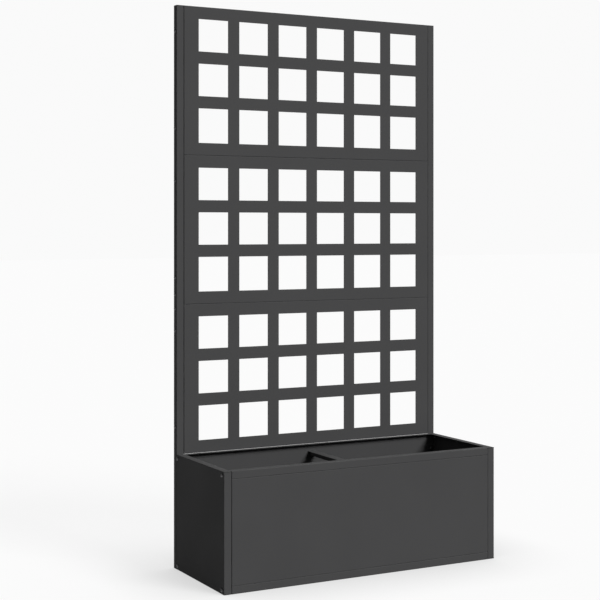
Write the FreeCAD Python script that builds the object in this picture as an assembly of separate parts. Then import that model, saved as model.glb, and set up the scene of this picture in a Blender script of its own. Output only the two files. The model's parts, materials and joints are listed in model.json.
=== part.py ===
"""Trough planter with a tall trellis, folded from sheet steel and bolted together.

Frame, in millimetres: X runs along the trough, +Y points to the back, +Z points up.
The origin lies on the floor, under the centre of the whole object.

Every sheet piece is a tray as it comes off a folding press: a flat face whose edges are
folded over a small radius, with a relief where two folds meet. The front sheets and the
trellis panels have stepped ends: these lie behind the folded edges of the side panels and
uprights, so the faces stand one sheet proud of them and hide the joint. All pieces are
bolted or riveted through their folded edges.
"""
import FreeCAD, Part
import math
import os

V = FreeCAD.Vector
RIGHT = V(1, 0, 0)
REARWARD = V(0, 1, 0)
UP = V(0, 0, 1)

# ---- driving dimensions -------------------------------------------------------------
WIDTH = 980.0            # along X, over the side faces
DEPTH = 380.0            # along Y, from the front face to the back of the uprights
HEIGHT = 1800.0          # floor to the top of the uprights
TROUGH_HEIGHT = 366.0    # floor to the rim
SHEET = 1.2              # sheet thickness
BEND = 1.8               # outer radius of every fold
CLEAR = 0.4              # clearance where two folded edges end beside each other
FLANGE = 24.0            # folded edges of a side panel, rims, and an upright's front leg
STEP_RUN = 1.2           # width over which a stepped end goes back by two sheets
RAIL_FACE = 23.75        # visible height of the front top and bottom rails
RAIL_TAB = 22.0          # end tabs of the rails
PANEL_FLANGE = 16.0      # folded edges of the front panel, and the rails' inner legs
REAR_FLANGE = 15.0       # folded edges of the back panel

# uprights and trellis
UPRIGHT_DEPTH = 22.0     # side leg of an upright
SPLICE_HEIGHT = 853.5    # where the lower and the upper length of an upright meet
SPLICE_LENGTH = 110.0
SPLICE_LEG = 17.0
SPLICE_SHEET = 2.0
TRELLIS_FLANGE = 20.3    # side folds of a trellis panel, from behind the uprights' legs
PANELS = 3
COLUMNS = 6
WINDOW = 104.0           # width of every window, and height of the two upper rows
COLUMN_PITCH = 144.6     # window to window along X
EDGE_RAIL = 40.0         # solid band below the first row and above the last
ROW_RAIL = 39.5          # solid band between two rows

# floor of the trough
FLOOR_BOTTOM = 28.0      # underside of the floor panel above the ground
FLOOR_EDGE = 10.0        # its downturned edges
FLOOR_GAP = 0.6          # clearance between the floor panel and the walls
DRAIN_RADIUS = 6.0
DRAIN_SIDES = 6
DRAIN_COLUMNS = (-400.0, -200.0, -100.0, 100.0, 200.0, 400.0)
DRAIN_ROWS = (-100.0, 80.0)
BEARER_SHEET = 1.5
BEARER_WIDTH = 40.0
BEARER_PLACES = {"left": -300.0, "middle": 0.0, "right": 300.0}

# cross tie under the rim
TIE_WIDTH = 30.0
TIE_SHEET = 1.5
TIE_EDGE = 12.0          # its downturned edges
TIE_END = 18.0           # flat length left at each end for the bolts
TIE_TAB = 26.0           # rear tab, bent down against the back panel

# fasteners: M6 screws with button heads on the sides, M6 hexagon bolts where only the back
# or the inside shows them, and blind rivets. Their round parts have flat sides, and each
# radius is taken to a corner.
HEAD_SIDES = 10
SHANK_SIDES = 6
SHANK_RADIUS = 3.0
HOLE_RADIUS = 3.4        # clearance hole
HEAD_HEIGHT = 3.2
HEAD_STEPS = ((6.0, 0.0), (5.1, 2.1), (2.9, HEAD_HEIGHT))   # radius at each height of the dome
SOCKET_RADIUS = 2.3      # hexagon socket
SOCKET_DEPTH = 1.8
NUT_RADIUS = 5.6         # also of the bolt heads, which take the same spanner
NUT_HEIGHT = 5.0
BOLT_HEAD_HEIGHT = 4.0
THREAD_END = 2.0         # thread that stands past the nut
RIVET_RADIUS = 2.4
RIVET_HEAD = (4.4, 1.2)  # radius and height
RIVET_TAIL = (3.2, 2.4)

# places of the fasteners
SIDE_SCREW_EDGE = 12.5   # trough's side screws from the top and the bottom edge
SIDE_SCREW_FRONT = 15.0  # the same screws from the front face
SIDE_SCREW_REAR = 30.5   # and from the back of the uprights
TRELLIS_SCREW_Y = 12.0   # trellis screws behind the front of the uprights
TRELLIS_SCREW_LOW = 86.5     # above a trellis panel's lower edge
TRELLIS_SCREW_HIGH = 396.0
SPLICE_SCREW = 22.5      # above and below the splice
REAR_BOLT_INSET = 13.0   # rear bolts from the side faces
REAR_BOLT_HEIGHTS = (75.0, 315.0)
SEAM_BOLT_PLACES = (-1.5 * COLUMN_PITCH, 1.5 * COLUMN_PITCH)
LEG_HOLE = 8.3           # bolt and rivet rows from the outer face of front panel and rails
RIVET_PLACES = (-320.0, 0.0, 320.0)
TIE_REAR_BOLT = 16.0     # below the tie's top

# ---- planes worked out from them -----------------------------------------------------
HALF_WIDTH = WIDTH / 2
FRONT = -DEPTH / 2
BACK = DEPTH / 2
POST_FRONT = BACK - UPRIGHT_DEPTH           # back of the trough, front of the uprights
WALL_X = HALF_WIDTH - SHEET                 # inner face of a side panel
REAR_Y = POST_FRONT - SHEET                 # faces of the back panel and the trellis panels
LEG_BACK = POST_FRONT + SHEET               # back of the uprights' front legs
MOUTH_X = HALF_WIDTH - FLANGE - CLEAR       # where the rim edges of the long walls end
STEP_X = MOUTH_X - CLEAR                    # foot of the step in a stepped end
FACE_END = STEP_X - STEP_RUN                # where the face ends
FOLD_END = FACE_END - CLEAR                 # where its long folds end
STEP_CORNERS = (2, 3, 4, 5)                 # the two steps in a stepped tray's outline
PANEL_PITCH = (HEIGHT - TROUGH_HEIGHT) / PANELS
TALL_WINDOW = PANEL_PITCH - 2 * EDGE_RAIL - 2 * ROW_RAIL - 2 * WINDOW
RELIEF = BEND + CLEAR                       # where a fold ends short of the next one
TIE_TOP = TROUGH_HEIGHT - RAIL_FACE - SHEET

pieces = {}


# ---- sheet metal ---------------------------------------------------------------------
def folded_section(points, thickness, bend=BEND, pressed=()):
    """Face of a folded strip's section in the XY plane.

    points follow one face of the strip, with the thickness on the left of the path. At
    each corner both faces turn about one centre, at the radius bend on the outside. The
    corners whose numbers are in pressed are left sharp, as a pressing tool leaves them.
    """
    path = [V(x, y, 0) for x, y in points]
    runs = [(b - a).normalize() for a, b in zip(path, path[1:])]
    normals = [V(-run.y, run.x, 0) for run in runs]

    def face_line(offset):
        """Edges of the face that lies at offset to the left of the path."""
        edges = []
        start = path[0] + normals[0] * offset
        for i in range(1, len(path) - 1):
            left_turn = runs[i - 1].cross(runs[i]).z > 0
            half_turn = runs[i - 1].getAngle(runs[i]) / 2
            bisector = (normals[i - 1] + normals[i]).normalize()
            corner = path[i] + bisector * (offset / math.cos(half_turn))
            if i in pressed:
                edges.append(Part.LineSegment(start, corner).toShape())
                start = corner
                continue
            radius = bend - (offset if left_turn else thickness - offset)
            reach = radius * math.tan(half_turn)
            arc_start = corner - runs[i - 1] * reach
            arc_end = corner + runs[i] * reach
            inward = bisector if left_turn else bisector * -1
            arc_middle = corner + inward * (radius / math.cos(half_turn) - radius)
            edges.append(Part.LineSegment(start, arc_start).toShape())
            edges.append(Part.Arc(arc_start, arc_middle, arc_end).toShape())
            start = arc_end
        end = path[-1] + normals[-1] * offset
        edges.append(Part.LineSegment(start, end).toShape())
        return edges, end

    near, near_end = face_line(0.0)
    far, far_end = face_line(thickness)
    caps = [Part.LineSegment(near_end, far_end).toShape(),
            Part.LineSegment(path[0], path[0] + normals[0] * thickness).toShape()]
    return Part.Face(Part.Wire(Part.__sortEdges__(near + far + caps)))


def place(shape, origin, x_axis, y_axis):
    """Put a shape's own X and Y along two directions, with its origin at a point."""
    z_axis = x_axis.cross(y_axis)
    placed = shape.copy()
    placed.Placement = FreeCAD.Placement(FreeCAD.Matrix(
        x_axis.x, y_axis.x, z_axis.x, origin.x,
        x_axis.y, y_axis.y, z_axis.y, origin.y,
        x_axis.z, y_axis.z, z_axis.z, origin.z,
        0, 0, 0, 1))
    return placed


def strip(points, thickness, length, origin, x_axis, y_axis, bend=BEND, pressed=()):
    """Folded strip: the section stands on origin and is drawn out square to itself."""
    solid = folded_section(points, thickness, bend, pressed).extrude(V(0, 0, length))
    return place(solid, origin, x_axis, y_axis)


def block(x0, x1, y0, y1, z0, z1):
    """Box between two corners."""
    return Part.makeBox(x1 - x0, y1 - y0, z1 - z0, V(x0, y0, z0))


def tray(length, width, low_edge, high_edge, ends):
    """Flat face on the XY plane, from the origin, with its four edges folded up to +Z.

    low_edge and high_edge are the depths of the folds along X. The folds at the two
    ends are as deep as ends, and stop short of the long folds by the relief.
    """
    section = [(0, low_edge), (0, 0), (width, 0), (width, high_edge)]
    solid = strip(section, SHEET, length, V(0, 0, 0), REARWARD, UP)
    span = width - 2 * RELIEF
    end_section = [(0, ends), (0, 0), (BEND + SHEET, 0)]
    near_end = strip(end_section, SHEET, span, V(0, RELIEF + span, 0), RIGHT, UP)
    far_end = strip(end_section, SHEET, span, V(length, RELIEF, 0), RIGHT * -1, UP)
    for fold, x in ((near_end, 0), (far_end, length - BEND)):
        solid = solid.cut(block(x, x + BEND, RELIEF, RELIEF + span, 0, SHEET))
        solid = solid.fuse(fold)
    return solid.removeSplitter()


def stepped_tray(face_y, z0, z1, low_edge, high_edge, ends):
    """Tray that stands upright between two heights, with its ends stepped back.

    Its face lies at face_y. Each end goes back by two sheets, runs on behind a
    neighbour's folded edge to the side wall, and folds back along it as deep as ends.
    low_edge and high_edge are the depths of the level folds, taken from the face.
    """
    end_y = face_y + 2 * SHEET
    outline = [(-WALL_X, end_y + ends), (-WALL_X, end_y), (-STEP_X, end_y), (-FACE_END, face_y)]
    outline += [(-x, y) for x, y in reversed(outline)]
    solid = strip(outline, SHEET, z1 - z0, V(0, 0, z0), RIGHT, REARWARD, pressed=STEP_CORNERS)
    stub = BEND + SHEET
    low_fold = [(face_y, z0 + stub), (face_y, z0), (face_y + low_edge, z0)]
    high_fold = [(face_y + high_edge, z1), (face_y, z1), (face_y, z1 - stub)]
    for section, bend_z in ((low_fold, z0), (high_fold, z1 - BEND)):
        bend_zone = block(-FOLD_END, FOLD_END, face_y, face_y + SHEET, bend_z, bend_z + BEND)
        fold = strip(section, SHEET, 2 * FOLD_END, V(-FOLD_END, 0, 0), REARWARD, UP)
        solid = solid.cut(bend_zone).fuse(fold)
    return solid.removeSplitter()


def mirrored(shape):
    """The same piece for the other end of the trough."""
    return shape.mirror(V(0, 0, 0), RIGHT)


def clear_of_side_panels(shape, z0, z1):
    """Cut both ends of a long wall's rim or foot, where the side panels' own edges lie."""
    for x0, x1 in ((-HALF_WIDTH, -MOUTH_X), (MOUTH_X, HALF_WIDTH)):
        shape = shape.cut(block(x0, x1, FRONT, BACK, z0, z1))
    return shape


# ---- trough --------------------------------------------------------------------------
def side_panel():
    """Left side of the trough, with its edges folded inwards all round."""
    solid = tray(POST_FRONT - FRONT - SHEET, TROUGH_HEIGHT, FLANGE, FLANGE, FLANGE)
    return place(solid, V(-HALF_WIDTH, FRONT + SHEET, 0), REARWARD, UP)


def rim_leg(solid, z0, z1):
    """Widen a rim or foot fold of the front towards the side panels' own edges."""
    leg_y = FRONT + 3 * SHEET + CLEAR
    for x0, x1 in ((-MOUTH_X, -FOLD_END), (FOLD_END, MOUTH_X)):
        solid = solid.fuse(block(x0, x1, leg_y, FRONT + FLANGE, z0, z1))
    return solid.removeSplitter()


def front_top_rail():
    """Channel of the front rim. Its end tabs lie inside the side panels."""
    solid = stepped_tray(FRONT, TROUGH_HEIGHT - RAIL_FACE, TROUGH_HEIGHT,
                         PANEL_FLANGE, FLANGE, RAIL_TAB)
    solid = rim_leg(solid, TROUGH_HEIGHT - SHEET, TROUGH_HEIGHT)
    return clear_of_side_panels(solid, TROUGH_HEIGHT - BEND, TROUGH_HEIGHT)


def front_bottom_rail():
    """Channel of the front foot, the top rail turned over."""
    solid = stepped_tray(FRONT, 0, RAIL_FACE, FLANGE, PANEL_FLANGE, RAIL_TAB)
    solid = rim_leg(solid, 0, SHEET)
    return clear_of_side_panels(solid, 0, BEND)


def front_panel():
    """Large sheet of the front, between the two rails."""
    return stepped_tray(FRONT, RAIL_FACE, TROUGH_HEIGHT - RAIL_FACE,
                        PANEL_FLANGE, PANEL_FLANGE, PANEL_FLANGE)


def back_panel():
    """Back of the trough, with its edges folded forwards."""
    solid = tray(2 * WALL_X, TROUGH_HEIGHT, REAR_FLANGE, REAR_FLANGE, REAR_FLANGE)
    solid = place(solid, V(-WALL_X, REAR_Y, 0), RIGHT, UP)
    solid = clear_of_side_panels(solid, 0, BEND)
    return clear_of_side_panels(solid, TROUGH_HEIGHT - BEND, TROUGH_HEIGHT)


def floor_panel():
    """Floor with downturned edges and drain holes, which holds the soil off the ground.

    It lies behind the ledge that the folds of the front panel and the bottom rail make.
    """
    edge_x = WALL_X - SHEET - FLOOR_GAP
    front_edge = FRONT + PANEL_FLANGE + FLOOR_GAP
    rear_edge = REAR_Y - SHEET - FLOOR_GAP
    solid = tray(2 * edge_x, rear_edge - front_edge, FLOOR_EDGE, FLOOR_EDGE, FLOOR_EDGE)
    top = V(-edge_x, rear_edge, FLOOR_BOTTOM + SHEET)
    solid = place(solid, top, RIGHT, REARWARD * -1)
    for x in DRAIN_COLUMNS:
        for y in DRAIN_ROWS:
            drain = bar(DRAIN_RADIUS, -SHEET, 2 * SHEET, DRAIN_SIDES)
            drain.translate(V(x, y, FLOOR_BOTTOM))
            solid = solid.cut(drain)
    return solid


def floor_bearer(x):
    """Channel under the floor panel. Its edges stand on the folded foot of the trough."""
    half = BEARER_WIDTH / 2
    section = [(half, SHEET), (half, FLOOR_BOTTOM), (-half, FLOOR_BOTTOM), (-half, SHEET)]
    front_end = FRONT + PANEL_FLANGE + 2 * FLOOR_GAP + SHEET
    rear_end = REAR_Y - 2 * SHEET - 2 * FLOOR_GAP
    return strip(section, BEARER_SHEET, rear_end - front_end, V(x, rear_end, 0),
                 RIGHT, UP, BEARER_SHEET + CLEAR)


def cross_tie():
    """Channel across the trough. It ties the front rim to the back panel."""
    half = TIE_WIDTH / 2
    front_end = FRONT + SHEET + FLOOR_GAP
    channel_front = front_end + TIE_END
    rear_face = REAR_Y - SHEET
    channel_rear = rear_face - TIE_END
    lower = TIE_TOP - TIE_EDGE
    section = [(half, lower), (half, TIE_TOP), (-half, TIE_TOP), (-half, lower)]
    channel = strip(section, TIE_SHEET, channel_rear - channel_front,
                    V(0, channel_rear, 0), RIGHT, UP, TIE_SHEET + CLEAR)
    front_pad = block(-half, half, front_end, channel_front, TIE_TOP - TIE_SHEET, TIE_TOP)
    tab_section = [(rear_face, TIE_TOP - TIE_TAB), (rear_face, TIE_TOP), (channel_rear, TIE_TOP)]
    rear_tab = strip(tab_section, TIE_SHEET, TIE_WIDTH, V(-half, 0, 0),
                     REARWARD, UP, TIE_SHEET + CLEAR)
    return channel.fuse(front_pad).fuse(rear_tab).removeSplitter()


# ---- trellis -------------------------------------------------------------------------
def upright(z0, z1):
    """One length of the left upright: a folded angle, open to the back."""
    section = [(-HALF_WIDTH, BACK), (-HALF_WIDTH, POST_FRONT),
               (-HALF_WIDTH + FLANGE, POST_FRONT)]
    return strip(section, SHEET, z1 - z0, V(0, 0, z0), RIGHT, REARWARD)


def splice_angle():
    """Angle inside the left upright that carries the joint between its two lengths."""
    corner_x = -WALL_X + SHEET
    corner_y = LEG_BACK + SHEET
    section = [(corner_x, corner_y + SPLICE_LEG), (corner_x, corner_y),
               (corner_x + SPLICE_LEG, corner_y)]
    return strip(section, SPLICE_SHEET, SPLICE_LENGTH,
                 V(0, 0, SPLICE_HEIGHT - SPLICE_LENGTH / 2), RIGHT, REARWARD,
                 SPLICE_SHEET + CLEAR)


def window_rows():
    """Lower edge and height of each row of windows above a panel's lower edge.

    The lowest row is taller than the two above it.
    """
    heights = (TALL_WINDOW, WINDOW, WINDOW)
    rows = []
    z = EDGE_RAIL
    for height in heights:
        rows.append((z, height))
        z += height + ROW_RAIL
    return rows


def trellis_panel(z0):
    """Grid of square windows punched in one sheet, with its edges folded back."""
    level_fold = TRELLIS_FLANGE + 2 * SHEET
    solid = stepped_tray(REAR_Y, z0, z0 + PANEL_PITCH, level_fold, level_fold, TRELLIS_FLANGE)
    first_x = -((COLUMNS - 1) * COLUMN_PITCH + WINDOW) / 2
    windows = []
    for column in range(COLUMNS):
        x = first_x + column * COLUMN_PITCH
        for z, height in window_rows():
            windows.append(block(x, x + WINDOW, REAR_Y - SHEET, POST_FRONT + SHEET,
                                 z0 + z, z0 + z + height))
    return solid.cut(Part.makeCompound(windows))


# ---- fasteners -----------------------------------------------------------------------
def turned(steps, sides):
    """Turned solid about Z with flat sides, from steps of corner radius and height."""
    corners = [V(math.cos(math.tau * i / sides), math.sin(math.tau * i / sides), 0)
               for i in range(sides + 1)]
    rings = [[corner * radius + V(0, 0, z) for corner in corners] for radius, z in steps]
    faces = [Part.Face(Part.makePolygon(ring)) for ring in (rings[0], rings[-1])]
    for lower, upper in zip(rings, rings[1:]):
        for i in range(sides):
            outline = [lower[i], lower[i + 1], upper[i + 1], upper[i], lower[i]]
            faces.append(Part.Face(Part.makePolygon(outline)))
    solid = Part.makeSolid(Part.makeShell(faces))
    return solid if solid.Volume > 0 else solid.reversed()


def bar(radius, z0, z1, sides=SHANK_SIDES):
    """Straight bar along Z with flat sides."""
    return turned([(radius, z0), (radius, z1)], sides)


def button_screw(length):
    """Domed head below the XY plane, with a hexagon socket, and its shank along +Z."""
    head = turned([(radius, -height) for radius, height in HEAD_STEPS], HEAD_SIDES)
    shank = bar(SHANK_RADIUS, 0, length)
    socket = bar(SOCKET_RADIUS, -HEAD_HEIGHT - 1, -HEAD_HEIGHT + SOCKET_DEPTH, 6)
    return head.fuse(shank).cut(socket).removeSplitter()


def hexagon_bolt(length):
    """Hexagon head below the XY plane, and its shank along +Z."""
    head = bar(NUT_RADIUS, -BOLT_HEAD_HEIGHT, 0, 6)
    return head.fuse(bar(SHANK_RADIUS, 0, length)).removeSplitter()


def nut():
    """Hexagon nut on the XY plane, bored to clear the shank."""
    return bar(NUT_RADIUS, 0, NUT_HEIGHT, 6).cut(bar(SHANK_RADIUS, -1, NUT_HEIGHT + 1))


def rivet(grip):
    """Blind rivet through sheets of a total thickness of grip, along +Z."""
    head_radius, head_height = RIVET_HEAD
    tail_radius, tail_height = RIVET_TAIL
    head = turned([(RIVET_RADIUS, -head_height), (head_radius, 0)], SHANK_SIDES)
    tail = turned([(tail_radius, grip), (RIVET_RADIUS, grip + tail_height)], SHANK_SIDES)
    return head.fuse(bar(RIVET_RADIUS, 0, grip)).fuse(tail).removeSplitter()


def aimed(shape, point, direction):
    """Move a fastener to a point, with its shank along a direction."""
    placed = shape.copy()
    placed.Placement = FreeCAD.Placement(point, FreeCAD.Rotation(UP, direction))
    return placed


def drill(names, point, direction, radius, depth):
    """Drill a clearance hole of a given depth through the named pieces."""
    hole = aimed(bar(radius, -SHEET, depth + SHEET), point, direction)
    for name in names:
        pieces[name] = pieces[name].cut(hole)


def bolt(screw_node, nut_node, names, grip, direction, points, fastener=hexagon_bolt):
    """Bolt the named pieces together at each point, where the head meets the sheet."""
    screws = []
    nuts = []
    for point in points:
        drill(names, point, direction, HOLE_RADIUS, grip)
        screws.append(aimed(fastener(grip + NUT_HEIGHT + THREAD_END), point, direction))
        nuts.append(aimed(nut(), point + direction * grip, direction))
    for node, added in ((screw_node, screws), (nut_node, nuts)):
        held = pieces[node].Solids if node in pieces else []
        pieces[node] = Part.makeCompound(held + added)


def bolt_sides():
    """Screws through both side faces: trough corners, trellis panels and splices."""
    trellis_panels = [f"trellis_panel_{level}" for level in ("lower", "middle", "upper")]
    corner_heights = (SIDE_SCREW_EDGE, TROUGH_HEIGHT - SIDE_SCREW_EDGE)
    screw_y = POST_FRONT + TRELLIS_SCREW_Y
    for side, sign in (("left", -1), ("right", 1)):
        face_x = sign * HALF_WIDTH
        inward = RIGHT * -sign
        corners = [V(face_x, y, z) for z in corner_heights
                   for y in (FRONT + SIDE_SCREW_FRONT, BACK - SIDE_SCREW_REAR)]
        walls = [f"{side}_side_panel", "front_top_rail", "front_bottom_rail", "back_panel"]
        bolt(f"{side}_trough_screws", "trough_nuts", walls, 2 * SHEET, inward, corners,
             button_screw)
        trellis = [V(face_x, screw_y, TROUGH_HEIGHT + level * PANEL_PITCH + height)
                   for level in range(PANELS)
                   for height in (TRELLIS_SCREW_LOW, TRELLIS_SCREW_HIGH)]
        posts = [f"{side}_upright_lower", f"{side}_upright_upper"]
        bolt(f"{side}_trellis_screws", "trellis_nuts", posts + trellis_panels,
             2 * SHEET, inward, trellis, button_screw)
        splice = [V(face_x, screw_y, SPLICE_HEIGHT + step)
                  for step in (-SPLICE_SCREW, SPLICE_SCREW)]
        bolt(f"{side}_splice_screws", "splice_nuts",
             posts + trellis_panels + [f"{side}_splice_angle"],
             2 * SHEET + SPLICE_SHEET, inward, splice, button_screw)


def bolt_rear():
    """Bolts that hold the uprights' front legs to the back of the trough."""
    bolt_x = HALF_WIDTH - REAR_BOLT_INSET
    points = [V(x, LEG_BACK, z) for x in (-bolt_x, bolt_x) for z in REAR_BOLT_HEIGHTS]
    names = ["left_upright_lower", "right_upright_lower",
             "left_side_panel", "right_side_panel", "back_panel"]
    bolt("rear_bolts", "rear_nuts", names, 3 * SHEET, REARWARD * -1, points)


def bolt_trellis_seams():
    """Bolts through the touching level folds of neighbouring trellis panels."""
    points = [V(x, POST_FRONT + TRELLIS_SCREW_Y, TROUGH_HEIGHT + level * PANEL_PITCH + SHEET)
              for level in range(1, PANELS) for x in SEAM_BOLT_PLACES]
    names = ["trellis_panel_lower", "trellis_panel_middle", "trellis_panel_upper"]
    bolt("seam_bolts", "seam_nuts", names, 2 * SHEET, UP * -1, points)


def bolt_cross_tie():
    """One bolt down through the front rail's leg, and one through the back panel."""
    front_point = V(0, FRONT + LEG_HOLE, TIE_TOP + 2 * SHEET)
    bolt("tie_bolts", "tie_nuts", ["front_top_rail", "front_panel", "cross_tie"],
         2 * SHEET + TIE_SHEET, UP * -1, [front_point])
    rear_point = V(0, REAR_Y, TIE_TOP - TIE_REAR_BOLT)
    bolt("tie_bolts", "tie_nuts", ["back_panel", "cross_tie"],
         SHEET + TIE_SHEET, REARWARD * -1, [rear_point])


def rivet_front():
    """Rivets between the front panel's folds and the inner legs of both rails."""
    rivets = []
    upper_z = TIE_TOP + 2 * SHEET
    lower_z = RAIL_FACE + SHEET
    for z, rail in ((upper_z, "front_top_rail"), (lower_z, "front_bottom_rail")):
        for x in RIVET_PLACES:
            if x == 0 and rail == "front_top_rail":
                continue                            # the cross tie's bolt holds the middle
            point = V(x, FRONT + LEG_HOLE, z)
            drill(["front_panel", rail], point, UP * -1, RIVET_RADIUS, 2 * SHEET)
            rivets.append(aimed(rivet(2 * SHEET), point, UP * -1))
    pieces["front_rivets"] = Part.makeCompound(rivets)


# ---- the whole planter ---------------------------------------------------------------
def build():
    """Make every piece, then drill and fasten them."""
    pieces["left_side_panel"] = side_panel()
    pieces["front_top_rail"] = front_top_rail()
    pieces["front_panel"] = front_panel()
    pieces["front_bottom_rail"] = front_bottom_rail()
    pieces["back_panel"] = back_panel()
    pieces["floor_panel"] = floor_panel()
    for place_name, x in BEARER_PLACES.items():
        pieces[f"floor_bearer_{place_name}"] = floor_bearer(x)
    pieces["cross_tie"] = cross_tie()
    pieces["left_upright_lower"] = upright(0, SPLICE_HEIGHT)
    pieces["left_upright_upper"] = upright(SPLICE_HEIGHT, HEIGHT)
    pieces["left_splice_angle"] = splice_angle()
    for name in [name for name in pieces if name.startswith("left_")]:
        pieces[name.replace("left_", "right_")] = mirrored(pieces[name])
    for level, place_name in enumerate(("lower", "middle", "upper")):
        z0 = TROUGH_HEIGHT + level * PANEL_PITCH
        pieces[f"trellis_panel_{place_name}"] = trellis_panel(z0)
    bolt_sides()
    bolt_rear()
    bolt_trellis_seams()
    bolt_cross_tie()
    rivet_front()


def export():
    """Write one STEP file per piece and print what it holds."""
    os.makedirs("parts", exist_ok=True)
    for name, shape in sorted(pieces.items()):
        print(f"{name:24s} solids {len(shape.Solids):2d}  volume {shape.Volume:10.1f} mm3"
              f"  valid {shape.isValid()}")
        shape.exportStep(f"parts/{name}.step")


build()
export()
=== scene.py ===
# %% [markdown]
# # A trough planter with a tall trellis, in matt charcoal powder coat
#
# The planter is folded from sheet steel, and its construction is already fixed: every
# panel, rail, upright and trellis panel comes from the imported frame, and none of them is
# moved or reshaped here. This lesson gives those pieces their finishes, makes the small
# fasteners as they really look, and sets up the studio and the camera.
#
# Lengths are in metres, apart from the fasteners' own sizes, which are in millimetres. X
# runs along the trough, +Y points to the back, where the trellis stands, and +Z points up
# from the floor.

import json
import math

import bpy
import numpy as np
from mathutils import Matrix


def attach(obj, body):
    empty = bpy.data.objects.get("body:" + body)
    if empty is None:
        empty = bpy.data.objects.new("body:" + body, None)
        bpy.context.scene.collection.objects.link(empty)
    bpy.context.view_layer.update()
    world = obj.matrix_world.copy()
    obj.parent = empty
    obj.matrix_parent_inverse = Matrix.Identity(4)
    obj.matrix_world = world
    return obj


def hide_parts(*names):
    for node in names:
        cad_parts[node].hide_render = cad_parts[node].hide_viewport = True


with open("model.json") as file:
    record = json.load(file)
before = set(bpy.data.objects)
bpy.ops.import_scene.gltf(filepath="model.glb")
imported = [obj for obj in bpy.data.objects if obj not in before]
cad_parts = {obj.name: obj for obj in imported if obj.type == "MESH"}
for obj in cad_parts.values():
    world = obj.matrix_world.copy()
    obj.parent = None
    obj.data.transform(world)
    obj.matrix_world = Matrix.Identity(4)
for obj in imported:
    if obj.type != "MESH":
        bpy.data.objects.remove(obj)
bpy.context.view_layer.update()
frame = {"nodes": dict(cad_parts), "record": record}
nodes = frame["nodes"]
SLOT_OF_NODE = {part["node"]: part["material_slot"] for part in frame["record"]["subparts"]}
MM = 0.001

# %% [markdown]
# ## The camera
#
# The camera stands level, a little above the middle of the planter, and looks in from the
# left. A level camera keeps the uprights parallel in the picture, so the frame is lowered
# with the lens shift instead of tilting the camera down, as a product photographer does.
# The numbers below are measured on the photograph, in its own 600 pixel frame.

# %% Place the camera
IMAGE_SIDE = 600             # pixels
FOCAL_LENGTH = 1387.6        # pixels
HORIZON_ROW = 226.5          # pixels from the top of the picture
CAMERA_PLACE = (-2.229, -3.919, 1.093)
CAMERA_TURN = math.radians(28.13)    # from +Y towards +X
SENSOR_WIDTH = 36.0          # millimetres, Blender's own

scene = bpy.context.scene
camera_data = bpy.data.cameras.new("camera")
camera_data.sensor_width = SENSOR_WIDTH
camera_data.lens = SENSOR_WIDTH * FOCAL_LENGTH / IMAGE_SIDE
camera_data.shift_y = (HORIZON_ROW - IMAGE_SIDE / 2) / IMAGE_SIDE
camera = bpy.data.objects.new("camera", camera_data)
camera.location = CAMERA_PLACE
camera.rotation_euler = (math.pi / 2, 0, -CAMERA_TURN)
scene.collection.objects.link(camera)
scene.camera = camera
scene.view_settings.view_transform = "Standard"
print("lens:", round(camera_data.lens, 2), "mm, shift:", round(camera_data.shift_y, 4))

# %% [markdown]
# ## Writing shaders as sums
#
# A finish is mostly arithmetic: a little noise times a strength, added to a base value.
# Drawn as nodes, such a sum is hard to read. `Signal` wraps one output socket and overloads
# Python's operators, so that the sum reads as a sum and adds its own Math nodes.

# %% A signal
class Signal:
    """One output socket in a finish, for use in an expression."""

    def __init__(self, finish, socket):
        self.finish = finish
        self.socket = socket

    def maths(self, operation, first, second):
        """Math node on two values, of which at least one is a signal."""
        return self.finish.node("ShaderNodeMath", {"operation": operation},
                                {0: first, 1: second})

    def __add__(self, other):
        return self.maths("ADD", self, other)

    def __sub__(self, other):
        return self.maths("SUBTRACT", self, other)

    def __rsub__(self, other):
        return self.maths("SUBTRACT", other, self)

    def __mul__(self, other):
        return self.maths("MULTIPLY", self, other)

    __radd__ = __add__
    __rmul__ = __mul__

    def most(self, other):
        """The larger of two values."""
        return self.maths("MAXIMUM", self, other)


print("a signal can add, subtract, multiply and take the larger")

# %% [markdown]
# ## A finish and its nodes
#
# Every node that isn't a sum comes from one method, `Finish.node`, which takes the node's
# type, its settings and what goes into its sockets. The other methods name the few nodes
# that this planter needs again and again, such as a noise whose lumps have a given size.

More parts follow.
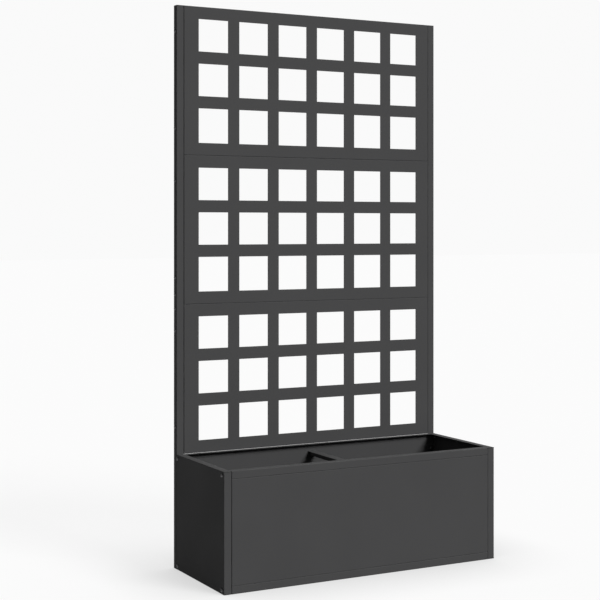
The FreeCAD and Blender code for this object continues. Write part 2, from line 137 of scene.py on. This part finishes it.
# %% A finish
class Finish:
    """A material or a world being built, with the shader's own sockets set by name."""

    def __init__(self, block, shader="ShaderNodeBsdfPrincipled", end="ShaderNodeOutputMaterial"):
        self.block = block
        self.block.use_nodes = True
        self.tree = self.block.node_tree
        self.tree.nodes.clear()
        self.place = self.node("ShaderNodeTexCoord", output="Object")
        surface = self.node(shader)
        self.shader = surface.socket.node
        self.join(self.tree.nodes.new(end).inputs["Surface"], surface)

    def node(self, kind, settings=None, sockets=None, output=0):
        """Add a node: its settings first, then the values or signals of its sockets."""
        made = self.tree.nodes.new(kind)
        for name, value in (settings or {}).items():
            setattr(made, name, value)
        for name, value in (sockets or {}).items():
            self.join(made.inputs[name], value)
        return Signal(self, made.outputs[output])

    def join(self, socket, value):
        """Link a signal to a socket, or set the socket to a plain value."""
        if isinstance(value, Signal):
            self.tree.links.new(socket, value.socket)
        else:
            socket.default_value = value

    def noise(self, size, detail=2.0):
        """Noise from 0 to 1 whose lumps measure about size."""
        return self.node("ShaderNodeTexNoise", None,
                         {"Vector": self.place, "Scale": 1 / size, "Detail": detail})

    def ramp(self, signal, low, high):
        """0 below low, 1 above high, and straight between them."""
        return self.node("ShaderNodeMapRange", None,
                         {"Value": signal, "From Min": low, "From Max": high})

    def blend(self, share, first, second):
        """Colour between two colours."""
        return self.node("ShaderNodeMix", {"data_type": "RGBA"},
                         {"Factor": share, "A": first, "B": second}, output="Result")

    def bump(self, height, depth, strength):
        """Normal of a surface with that height map, depth deep."""
        return self.node("ShaderNodeBump", None,
                         {"Height": height, "Distance": depth, "Strength": strength})

    def surface(self, **sockets):
        """Set the shader's own sockets. An underscore stands for a space."""
        for name, value in sockets.items():
            self.join(self.shader.inputs[name.replace("_", " ")], value)
        return self.block


print("a finish can add a node, noise, ramp, blend or bump, and set its surface")

# %% [markdown]
# ## Matt powder coat
#
# The sheet is sprayed with polyester powder and baked, which leaves an even charcoal skin.
# Seen close, it has two kinds of relief: a fine grit, and the wider, shallow orange peel
# that the powder keeps as it melts. A picture of such a skin would repeat itself on sheets
# this large, so both are noise on Object coordinates, which has no seams and one size
# everywhere. Nothing in the photograph shows wear, so the only change of tone is a breath
# of dust on faces that look up, and a slow cloudiness that a plain colour lacks.

# %% Powder coat
COAT_COLOUR = (0.060, 0.060, 0.061, 1)
COAT_CLOUD = (0.066, 0.066, 0.067, 1)
DUST_COLOUR = (0.115, 0.112, 0.108, 1)
COAT_SHEEN = 0.12            # a matt coat reflects far less than a gloss one
COAT_ROUGHNESS = 0.66
COAT_RELIEF = (0.05 * MM, 0.5)       # depth, and the strength of the bump
CLOUD_SIZE = 220 * MM
GRIT_SIZE = 0.6 * MM
PEEL_SIZE = 2.6 * MM
DUST_PATCH = 5 * MM
DUST_SHARE = 0.15            # how far the dustiest spot goes towards the dust's colour


def powder_coat():
    """Even charcoal with grit, orange peel and a little dust on level faces."""
    coat = Finish(bpy.data.materials.new("powder_coat"))
    cloud = coat.ramp(coat.noise(CLOUD_SIZE, 3.0), 0.35, 0.65)
    grit = coat.noise(GRIT_SIZE)
    peel = coat.noise(PEEL_SIZE, 1.0)
    normal = coat.node("ShaderNodeNewGeometry", output="Normal")
    upwards = coat.node("ShaderNodeSeparateXYZ", None, {"Vector": normal}, output="Z")
    dust = coat.ramp(upwards, 0.6, 1.0) * coat.ramp(coat.noise(DUST_PATCH, 4.0), 0.3, 0.8)
    tone = coat.blend(cloud * 0.6 + grit * 0.4, COAT_COLOUR, COAT_CLOUD)
    return coat.surface(
        Base_Color=coat.blend(dust * DUST_SHARE, tone, DUST_COLOUR),
        Roughness=COAT_ROUGHNESS + cloud * 0.05 + grit * 0.06,
        Specular_IOR_Level=COAT_SHEEN,
        Normal=coat.bump(grit * 0.35 + peel * 0.65, *COAT_RELIEF),
    )


FINISHES = {"powder_coat": powder_coat()}
print("powder coat nodes:", len(FINISHES["powder_coat"].node_tree.nodes))

# %% [markdown]
# ## Zinc plate
#
# Under the floor and inside the frame the metal stays bare: the bearers and the nuts carry
# zinc, a pale grey metal that sets in crystals of a few millimetres. Noise alone would give
# clouds without edges. Voronoi cells have edges, so each gives one crystal its own tone, and
# a slow haze runs over them all.

# %% Zinc plate
ZINC_COLOURS = (0.36, 0.37, 0.38, 1), (0.56, 0.57, 0.58, 1)
ZINC_ROUGHNESS = 0.42
ZINC_RELIEF = (0.05 * MM, 0.3)       # depth, and the strength of the bump
CRYSTAL_SIZE = 7 * MM
HAZE_SIZE = 18 * MM


def zinc_plate():
    """Dull zinc with cloudy crystals."""
    zinc = Finish(bpy.data.materials.new("zinc_plate"))
    crystals = zinc.node("ShaderNodeTexVoronoi", {"feature": "F1"},
                         {"Vector": zinc.place, "Scale": 1 / CRYSTAL_SIZE}, output="Color")
    tone = zinc.node("ShaderNodeSeparateColor", None, {"Color": crystals}, output="Red")
    haze = zinc.noise(HAZE_SIZE, 3.0)
    return zinc.surface(
        Base_Color=zinc.blend(tone * 0.6 + haze * 0.4, *ZINC_COLOURS),
        Metallic=1.0,
        Roughness=ZINC_ROUGHNESS + tone * 0.10 + haze * 0.08,
        Normal=zinc.bump(haze, *ZINC_RELIEF),
    )


FINISHES["zinc_plate"] = zinc_plate()
print("zinc plate nodes:", len(FINISHES["zinc_plate"].node_tree.nodes))

# %% [markdown]
# ## Screw steel
#
# The screws and bolts are steel with a blackened satin skin, a little brighter than the
# coat around them. Tone, roughness and relief could each have a noise of their own. On so
# small a piece one fine noise serves all three, and keeps them in step.

# %% Screw steel
STEEL_COLOURS = (0.085, 0.085, 0.088, 1), (0.13, 0.13, 0.135, 1)
STEEL_ROUGHNESS = 0.40
STEEL_RELIEF = (0.03 * MM, 0.3)      # depth, and the strength of the bump
GRAIN_SIZE = 0.5 * MM


def screw_steel():
    """Satin steel under a blackened skin."""
    steel = Finish(bpy.data.materials.new("screw_steel"))
    grain = steel.noise(GRAIN_SIZE)
    return steel.surface(
        Base_Color=steel.blend(grain, *STEEL_COLOURS),
        Metallic=1.0,
        Roughness=STEEL_ROUGHNESS + grain * 0.12,
        Normal=steel.bump(grain, *STEEL_RELIEF),
    )


FINISHES["screw_steel"] = screw_steel()
print("screw steel nodes:", len(FINISHES["screw_steel"].node_tree.nodes))

# %% [markdown]
# ## Each node gets its finish
#
# Materials could be handed out by hand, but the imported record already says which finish
# each node of the frame has, so one loop follows it. A node's shape stays as it is.

# %% Finishes of the frame's nodes
for name, node in nodes.items():
    node.data.materials.clear()
    node.data.materials.append(FINISHES[SLOT_OF_NODE[name]])
for finish_name in FINISHES:
    print(finish_name, "covers", list(SLOT_OF_NODE.values()).count(finish_name), "nodes")

# %% [markdown]
# ## Where each fastener sits
#
# The places of the screws could be typed in again from the drawing. Reading them from the
# frame keeps each one in its own hole, whatever changes there. A node can hold several
# equal fasteners. Its mesh is loose triangles, so a copy of its corners is welded first, and
# then each connected lump is one fastener. The box of a lump gives its place and its axis:
# a screw is longest along its axis, while a nut or a rivet is shortest there. The wider end
# is the head.

# %% Places of the fasteners, read from the frame
WELD = 0.001 * MM            # corners closer than this are one
HEAD_SHARE = 0.3             # the part of a fastener's length that may hold its head


def lumps(node):
    """Corner points of each separate solid in a node, as a list of arrays.

    Every corner starts with a label of its own, and each triangle gives its lowest label to
    its three corners until nothing changes.
    """
    mesh = nodes[node].data
    points = np.zeros(len(mesh.vertices) * 3, np.float32)
    mesh.vertices.foreach_get("co", points)
    corners = np.zeros(len(mesh.loops), np.int32)
    mesh.loops.foreach_get("vertex_index", corners)
    points, same = np.unique(np.round(points.reshape(-1, 3) / WELD), axis=0, return_inverse=True)
    triangles = same.ravel()[corners].reshape(-1, 3)
    label = np.arange(len(points))
    while True:
        lowest = label[triangles].min(axis=1)
        spread = label.copy()
        for column in triangles.T:
            np.minimum.at(spread, column, lowest)
        if (spread == label).all():
            break
        label = spread
    return [points[label == kind] * WELD for kind in np.unique(label)]


def seat(points, longest):
    """Middle of a lump's wide end, the axis from there to its narrow end, and its length."""
    low, high = points.min(axis=0), points.max(axis=0)
    size = high - low
    k = int(size.argmax() if longest else size.argmin())
    middle = (low + high) / 2
    reach = np.linalg.norm(np.delete(points - middle, k, axis=1), axis=1)
    near_low = points[:, k] < low[k] + size[k] * HEAD_SHARE
    wide_is_low = reach[near_low].max() >= reach[~near_low].max()
    axis = np.zeros(3)
    axis[k] = 1 if wide_is_low else -1
    middle[k] = low[k] if wide_is_low else high[k]
    return middle, axis, size[k]


print("screws on the left side:", sum(len(lumps(f"left_{kind}_screws"))
                                     for kind in ("trough", "trellis", "splice")))

# %% [markdown]
# ## Turned surfaces
#
# A screw, a nut and a rivet are all one closed surface about an axis. Spin would turn a
# profile into such a surface, but only into a round one. So each is a grid instead: down
# one side run the stations of its profile, from one end to the other, and across run the
# angles. A station's radius may change with the angle, so the same grid makes round domes,
# hexagon sockets and flats, and even a thread. One grid then serves every seat at once.

# %% A turned surface
ANGLES = np.linspace(0, 2 * np.pi, 48, endpoint=False)
SHARP = math.radians(30)     # edges turned by more than this stay crisp


def hexagon(corner_radius):
    """Radius of a hexagon at each angle: the flat's distance over the cosine from its middle."""
    from_flat = np.mod(ANGLES, np.pi / 3) - np.pi / 6
    return corner_radius * math.cos(math.pi / 6) / np.cos(from_flat)


def round_bar(radius):
    """The same radius at every angle."""
    return np.full(len(ANGLES), float(radius))


def turned_mesh(name, stations, seats, bored=False):
    """Mesh of the stations' surface, set down at every seat.

    A station is a height along the axis and the radius at each angle. A point of the grid
    lies at (radius * cos angle, radius * sin angle, height). A bored piece joins its last
    station to its first, and any other has a flat face at both ends. A seat is a place and
    an axis, and carries the grid's three directions to across, along and axis.
    """
    heights = np.array([height for height, radii in stations])
    radii = np.array([radii for height, radii in stations])
    columns = len(ANGLES)
    local = np.stack([radii * np.cos(ANGLES), radii * np.sin(ANGLES),
                      np.repeat(heights[:, None], columns, axis=1)], axis=-1)
    local = local.reshape(-1, 3) * MM
    index = np.arange(len(local)).reshape(-1, columns)
    following = np.roll(index, -1, axis=0)
    near, far = (index, following) if bored else (index[:-1], following[:-1])
    quads = np.stack([near, np.roll(near, -1, axis=1), np.roll(far, -1, axis=1), far], axis=-1)
    places = np.array([place for place, axis in seats])
    axes = np.array([axis for place, axis in seats])
    across = np.cross(axes, np.where(np.abs(axes[:, 2:]) < 0.5, (0, 0, 1), (1, 0, 0)))
    turns = np.stack([across, np.cross(axes, across), axes], axis=1)
    points = np.einsum("vi,nij->nvj", local, turns) + places[:, None]
    starts = np.arange(len(seats)).reshape(-1, 1, 1) * len(local)
    faces = (quads.reshape(-1, 4) + starts).reshape(-1, 4).tolist()
    if not bored:
        ends = np.stack([index[0, ::-1], index[-1]])
        faces += (ends + starts).reshape(-1, columns).tolist()
    mesh = bpy.data.meshes.new(name)
    mesh.from_pydata(points.reshape(-1, 3).tolist(), [], faces)
    mesh.polygons.foreach_set("use_smooth", [True] * len(mesh.polygons))
    return mesh


def fasten(name, nodes_replaced, mesh, slot):
    """Put a mesh of fasteners in the scene, in place of the frame's plain ones."""
    mesh.materials.append(FINISHES[slot])
    piece = bpy.data.objects.new(name, mesh)
    scene.collection.objects.link(piece)
    mesh.set_sharp_from_angle(angle=SHARP)
    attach(piece, "root")
    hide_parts(*nodes_replaced)
    print(name, "has", len(mesh.polygons), "faces")


print("angles round each fastener:", len(ANGLES))

# %% [markdown]
# ## Shanks with a real thread
#
# Every screw and bolt here has the same shank, plain at first and threaded at its end,
# where it comes out of the nut. A ridge wound round a rod would be a second surface that
# cuts into the first. Here the thread is the shank's own radius, a triangle wave of height
# and angle together. The crest of that wave climbs as it turns, so the grid shows a true
# helix in one closed skin.

# %% A threaded shank
SHANK_RADIUS = 3.0
THREAD_PITCH = 1.0
THREAD_DEPTH = 0.32
THREAD_STEP = 0.125          # between two stations, an eighth of a turn
THREAD_SHOWN = 2.6           # from the start of the thread to the end of the shank
POINT_LENGTH = 0.3
POINT_RADIUS = 2.4


def thread(height):
    """Radius of the thread: a triangle wave of height in pitches plus share of a turn."""
    phase = np.mod(height / THREAD_PITCH + ANGLES / (2 * np.pi), 1.0)
    return SHANK_RADIUS - THREAD_DEPTH * np.abs(2 * phase - 1)


def shank_stations(length):
    """Profile of a shank from height 0 to its threaded end. Lengths are in millimetres."""
    threaded = np.arange(length - THREAD_SHOWN, length - POINT_LENGTH, THREAD_STEP)
    return ([(0, round_bar(SHANK_RADIUS)), (threaded[0], round_bar(SHANK_RADIUS))]
            + [(height, thread(height)) for height in threaded]
            + [(length, round_bar(POINT_RADIUS))])


print("turns of thread on a shank:", round((THREAD_SHOWN - POINT_LENGTH) / THREAD_PITCH, 1))

# %% [markdown]
# ## Button-head screws
#
# The heads on the sides are the only fasteners that the photograph shows: low domes with a
# hexagon socket. A Boolean could cut the socket, and would leave ragged faces on the dome.
# A profile needs no cut: it starts at the bottom of the socket, climbs its six walls, goes
# over the dome and under the head, and goes on along the shank.

# %% Button heads
HEAD_RADIUS = 6.0
HEAD_HEIGHT = 3.2
HEAD_EDGE = 0.45             # height of the dome's rim above the sheet
CROWN_RADIUS = 2.9           # flat ring round the socket, where the dome starts
SOCKET_RADIUS = 2.3          # to the corners of the hexagon
SOCKET_DEPTH = 1.8
SOCKET_FLOOR = 1.38          # corner radius at the bottom
SOCKET_CONE = 0.25           # height over which the walls run in to the bottom
SOCKET_RIM = 0.18            # height over which the mouth opens
SOCKET_FLARE = 0.2           # how far the mouth opens
FOOT_BEVEL = 0.12
DOME_ANGLES = np.linspace(0.12, math.pi / 2, 9)


def button_stations(length):
    """Profile of a button-head screw: socket, quarter ellipse of the dome, and shank."""
    top = -HEAD_HEIGHT
    socket = [(top + SOCKET_DEPTH, hexagon(SOCKET_FLOOR)),
              (top + SOCKET_DEPTH - SOCKET_CONE, hexagon(SOCKET_RADIUS)),
              (top + SOCKET_RIM, hexagon(SOCKET_RADIUS)),
              (top, hexagon(SOCKET_RADIUS + SOCKET_FLARE))]
    dome = [((top + HEAD_EDGE) * math.cos(angle) - HEAD_EDGE,
             round_bar(CROWN_RADIUS + (HEAD_RADIUS - CROWN_RADIUS) * math.sin(angle)))
            for angle in DOME_ANGLES]
    foot = [(-FOOT_BEVEL, round_bar(HEAD_RADIUS)), (0, round_bar(HEAD_RADIUS - FOOT_BEVEL))]
    return socket + dome + foot + shank_stations(length)


def place_screws(name, node, head_height, stations):
    """Screws at the seats of the frame's plain ones, whose boxes start at their heads."""
    found = [seat(points, longest=True) for points in lumps(node)]
    seats = [(crown + axis * head_height * MM, axis) for crown, axis, length in found]
    shank = min(length for crown, axis, length in found) / MM - head_height
    print(name, len(seats), "with shanks of", round(shank, 2), "mm")
    fasten(name, [node], turned_mesh(name, stations(shank), seats), "screw_steel")


for side in ("left", "right"):
    for group in ("trough", "trellis", "splice"):
        place_screws(f"{side}_{group}_button_screws", f"{side}_{group}_screws",
                     HEAD_HEIGHT, button_stations)

# %% [markdown]
# ## Hexagon bolts and nuts
#
# Where no one sees them, on the back and inside, plain hexagon bolts do the work. A bolt's
# head and a nut are prisms whose corners are turned off on a lathe. A Bevel would round all
# their edges alike. On the grid the lathe's cut is the smaller of two radii at each station:
# the hexagon's, and that of a cone which opens from the end face. A nut is bored, so its
# profile closes on itself, with a small countersink at both ends of the bore.

# %% Hexagon bolts and nuts
HEXAGON_RADIUS = 5.6         # to the corners
BOLT_HEAD = 4.0
NUT_HEIGHT = 5.0
BORE_RADIUS = 3.0
COUNTERSINK = 0.35
CHAMFER = 0.4                # height of the turned corners
CHAMFER_STEPS = (0, 0.35, 0.7, 1)
FLAT_RADIUS = HEXAGON_RADIUS * math.cos(math.pi / 6)
FACE_RADIUS = FLAT_RADIUS - 0.1      # the end face stops just inside the flats


def turned_corners(face):
    """Stations from an end face to full corners: the smaller of the hexagon and a cone."""
    return [(face + CHAMFER * share,
             np.minimum(hexagon(HEXAGON_RADIUS),
                        FACE_RADIUS + (HEXAGON_RADIUS - FACE_RADIUS) * share))
            for share in CHAMFER_STEPS]


def bolt_stations(length):
    """Profile of a hexagon bolt: head with turned corners, its flat foot, and shank."""
    return turned_corners(-BOLT_HEAD) + [(0, hexagon(HEXAGON_RADIUS))] + shank_stations(length)


def nut_stations():
    """Profile of a nut, from the bore's near end over the outside to its far end."""
    near = [(COUNTERSINK, round_bar(BORE_RADIUS)), (0, round_bar(BORE_RADIUS + COUNTERSINK))]
    near += turned_corners(0)
    return near + [(NUT_HEIGHT - height, radii) for height, radii in near[::-1]]


for group in ("rear", "seam", "tie"):
    place_screws(f"{group}_hexagon_bolts", f"{group}_bolts", BOLT_HEAD, bolt_stations)
for group in ("trough", "trellis", "splice", "rear", "seam", "tie"):
    seats = [seat(points, longest=False)[:2] for points in lumps(f"{group}_nuts")]
    nuts = turned_mesh(f"{group}_hexagon_nuts", nut_stations(), seats, bored=True)
    fasten(f"{group}_hexagon_nuts", [f"{group}_nuts"], nuts, "zinc_plate")

# %% [markdown]
# ## Blind rivets
#
# The front panel is riveted to its rails from above the folds. A blind rivet has a low
# round flange with a pit in the middle, where the pulled pin broke off, and a bulb behind.
# It is round all over, so one radius at each station is enough, and it shares the coat of
# the sheets, because it is set before they are sprayed.

# %% Rivets
RIVET_FLANGE = 4.4
RIVET_HEIGHT = 1.2           # of the flange
RIVET_SHANK = 2.4
RIVET_CROWN = 1.68           # where the flange's curve starts
RIVET_PIT = [(0.7, 0.9), (0.1, 1.1), (0, 1.3)]   # height and radius, from the pit's floor
BULB_LENGTH = 2.4
BULB_SHOULDER = [(0.15, 3.0), (0.6, 3.2)]        # height past the shank, and radius
BULB_TIP = [(-0.5, 2.6), (0, 1.2)]               # height short of the end, and radius
FLANGE_ANGLES = np.linspace(0.1, math.pi / 2, 7)


def rivet_stations(length):
    """Profile of a set rivet: pit, quarter ellipse of the flange, shank and bulb."""
    flange = [(RIVET_HEIGHT * (1 - math.cos(angle)),
               RIVET_CROWN + (RIVET_FLANGE - RIVET_CROWN) * math.sin(angle))
              for angle in FLANGE_ANGLES]
    behind = length - BULB_LENGTH
    shank = [(RIVET_HEIGHT, RIVET_SHANK), (behind, RIVET_SHANK)]
    shoulder = [(behind + height, radius) for height, radius in BULB_SHOULDER]
    tip = [(length + height, radius) for height, radius in BULB_TIP]
    profile = RIVET_PIT + flange + shank + shoulder + tip
    return [(height, round_bar(radius)) for height, radius in profile]


rivet_seats = [seat(points, longest=False) for points in lumps("front_rivets")]
rivet_mesh = turned_mesh("front_blind_rivets", rivet_stations(rivet_seats[0][2] / MM),
                         [(place, axis) for place, axis, length in rivet_seats])
fasten("front_blind_rivets", ["front_rivets"], rivet_mesh, "powder_coat")

# %% [markdown]
# ## The studio floor
#
# In the photograph the floor is almost white and the planter's shade on it is faint. A
# white floor would throw far too much light up at the planter. So the floor is a plain grey
# for the light, and only what looks at it, the camera or a glossy face, sees the white that
# it lacks. That white is held back where the planter hides the sky, which the ambient
# occlusion node measures: it gives the soft shade all round the foot.

# %% Floor
FLOOR_REACH = 40.0           # metres from the middle to an edge
FLOOR_COLOUR = 0.13
FLOOR_GLOW = 0.836           # what the floor lacks to look white
FLOOR_DIM = 0.55             # share of the glow that is left where no sky reaches
FLOOR_SHADE_REACH = 0.30     # metres from the planter to which its shade reaches
SHADE_SAMPLES = 8
UNDERNEATH = 0.40            # share of open sky below which a place lies under the planter


def looks(finish):
    """Two signals: 1 for the camera's own rays, and 1 for rays off gloss or through glass."""
    to_camera = finish.node("ShaderNodeLightPath", output="Is Camera Ray")
    to_gloss = finish.node("ShaderNodeLightPath", output="Is Glossy Ray")
    to_glass = finish.node("ShaderNodeLightPath", output="Is Transmission Ray")
    return to_camera, to_gloss.most(to_glass)


def studio_floor():
    """Level floor: a plain grey, and for direct looks the white that it lacks.

    The white fades towards FLOOR_DIM where the planter hides the sky from the floor, and to
    nothing below the planter, which shows through the drain holes.
    """
    floor = Finish(bpy.data.materials.new("studio_floor"))
    open_sky = floor.node("ShaderNodeAmbientOcclusion", {"samples": SHADE_SAMPLES},
                          {"Distance": FLOOR_SHADE_REACH}, output="AO")
    direct, mirrored = looks(floor)
    in_the_open = floor.ramp(open_sky, 0.0, UNDERNEATH)
    glow = direct.most(mirrored) * in_the_open * (FLOOR_DIM + open_sky * (1 - FLOOR_DIM))
    floor.surface(
        Base_Color=(FLOOR_COLOUR, FLOOR_COLOUR, FLOOR_COLOUR, 1),
        Roughness=1.0,
        Specular_IOR_Level=0.0,
        Emission_Color=floor.blend(glow, (0, 0, 0, 1), (FLOOR_GLOW, FLOOR_GLOW, FLOOR_GLOW, 1)),
        Emission_Strength=1.0,
    )
    mesh = bpy.data.meshes.new("studio_floor")
    corners = np.array([(-1, -1, 0), (1, -1, 0), (1, 1, 0), (-1, 1, 0)]) * FLOOR_REACH
    mesh.from_pydata(corners.tolist(), [], [(0, 1, 2, 3)])
    mesh.materials.append(floor.block)
    piece = bpy.data.objects.new("studio_floor", mesh)
    scene.collection.objects.link(piece)
    return piece


studio_floor()
print("floor reaches", FLOOR_REACH, "m each way")

# %% [markdown]
# ## The lamps
#
# Area lamps near the planter would light its top more than its foot. Two suns with wide
# discs are as soft, and light it alike at any distance. The main one comes from the front
# right, so the left side falls into shade. The fill is weaker and wider, and comes from the
# right side.

# %% Lamps
MAIN_SUN = {"turn": -62, "height": 40, "strength": 3.45, "width": 26}
FILL_SUN = {"turn": 8, "height": 28, "strength": 0.45, "width": 60}


def sun(name, turn, height, strength, width):
    """Sun lamp, turned from +X towards +Y and raised above the floor, in degrees."""
    lamp = bpy.data.lights.new(name, "SUN")
    lamp.energy = strength
    lamp.angle = math.radians(width)
    lamp_object = bpy.data.objects.new(name, lamp)
    lamp_object.rotation_euler = (0, math.radians(90 - height), math.radians(turn))
    scene.collection.objects.link(lamp_object)
    print(name, "lights at", strength, "from", height, "degrees up")


sun("main_sun", **MAIN_SUN)
sun("fill_sun", **FILL_SUN)

# %% [markdown]
# ## The world
#
# The world shines low from all round, so that the shaded side keeps a dark, readable tone.
# A white backdrop could be a sheet behind the planter, but from behind it would hide the
# view. Painted on the world it never does. The camera sees white everywhere, glossy faces
# see it where the backdrop is, and a share of it lights the planter's back.

# %% World
WHITE = 0.955
WORLD_LIGHT = 0.15
BEHIND_LIGHT = 0.50          # share of white that the backdrop sheds on the back
BACKDROP_EDGE = (0.77, 0.94)     # cosine from the middle of the backdrop, dark and white


def studio_world():
    """Low light from all round, a little more from behind, and a white backdrop there."""
    world = Finish(bpy.data.worlds.new("studio_world"), "ShaderNodeMixShader",
                   "ShaderNodeOutputWorld")
    ahead = (math.sin(CAMERA_TURN), math.cos(CAMERA_TURN), 0)
    direction = world.node("ShaderNodeTexCoord", output="Generated")
    nearness = world.node("ShaderNodeVectorMath", {"operation": "DOT_PRODUCT"},
                          {0: direction, 1: ahead}, output="Value")
    backdrop = world.ramp(nearness, *BACKDROP_EDGE)
    behind = world.ramp(nearness, 0.0, 1.0) * BEHIND_LIGHT
    direct, mirrored = looks(world)
    whiteness = direct.most(mirrored * backdrop).most((1 - mirrored) * behind)
    plain = (1, 1, 1, 1)
    low = world.node("ShaderNodeBackground", None, {"Color": plain, "Strength": WORLD_LIGHT})
    white = world.node("ShaderNodeBackground", None, {"Color": plain, "Strength": WHITE})
    world.join(world.shader.inputs["Fac"], whiteness)
    world.join(world.shader.inputs[1], low)
    world.join(world.shader.inputs[2], white)
    scene.world = world.block


studio_world()
print("world shines at", WORLD_LIGHT, "and shows at", WHITE)
